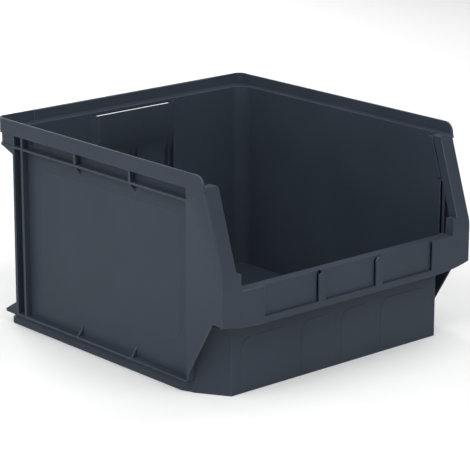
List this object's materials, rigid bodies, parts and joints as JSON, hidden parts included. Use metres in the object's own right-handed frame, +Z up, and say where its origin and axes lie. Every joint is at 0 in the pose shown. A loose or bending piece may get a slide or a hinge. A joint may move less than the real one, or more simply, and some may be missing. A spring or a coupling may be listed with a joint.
{
  "type": "open front storage bin",
  "caption": "Open-front stacking storage bin with a low label-holder lip, sloped front posts, ribbed rim, hand grip and stacking foot.",
  "frame": {"origin": "on the floor at the centre of the overall bounding box's bottom face", "axes": "+X across the bin to the user's right when facing the open front, +Y from the open front to the closed rear wall, +Z up"},
  "size_m": [0.47, 0.5, 0.31],
  "materials": {
    "bin_plastic": "fine moulded grain, satin"
  },
  "bodies": {
    "root": {"floor_panel": "bin_plastic", "foot_corner_left": "bin_plastic", "foot_corner_right": "bin_plastic", "foot_rear": "bin_plastic", "foot_side_left": "bin_plastic", "foot_side_right": "bin_plastic", "front_corner_left": "bin_plastic", "front_corner_right": "bin_plastic", "front_lip": "bin_plastic", "front_post_left": "bin_plastic", "front_post_right": "bin_plastic", "front_wall": "bin_plastic", "grip_hood": "bin_plastic", "guide_rib_1": "bin_plastic", "guide_rib_2": "bin_plastic", "guide_rib_3": "bin_plastic", "guide_rib_4": "bin_plastic", "guide_rib_5": "bin_plastic", "guide_rib_6": "bin_plastic", "label_comb": "bin_plastic", "pane_guide_left": "bin_plastic", "pane_guide_right": "bin_plastic", "rear_corner_left": "bin_plastic", "rear_corner_right": "bin_plastic", "rear_rib_1_left": "bin_plastic", "rear_rib_1_right": "bin_plastic", "rear_rib_2_left": "bin_plastic", "rear_rib_2_right": "bin_plastic", "rear_wall": "bin_plastic", "rim_corner_left": "bin_plastic", "rim_corner_right": "bin_plastic", "rim_flange_corner_left": "bin_plastic", "rim_flange_corner_right": "bin_plastic", "rim_flange_left": "bin_plastic", "rim_flange_rear_left": "bin_plastic", "rim_flange_rear_right": "bin_plastic", "rim_flange_right": "bin_plastic", "rim_rear": "bin_plastic", "rim_side_left": "bin_plastic", "rim_side_right": "bin_plastic", "side_wall_left": "bin_plastic", "side_wall_right": "bin_plastic"}
  },
  "joints": []
}
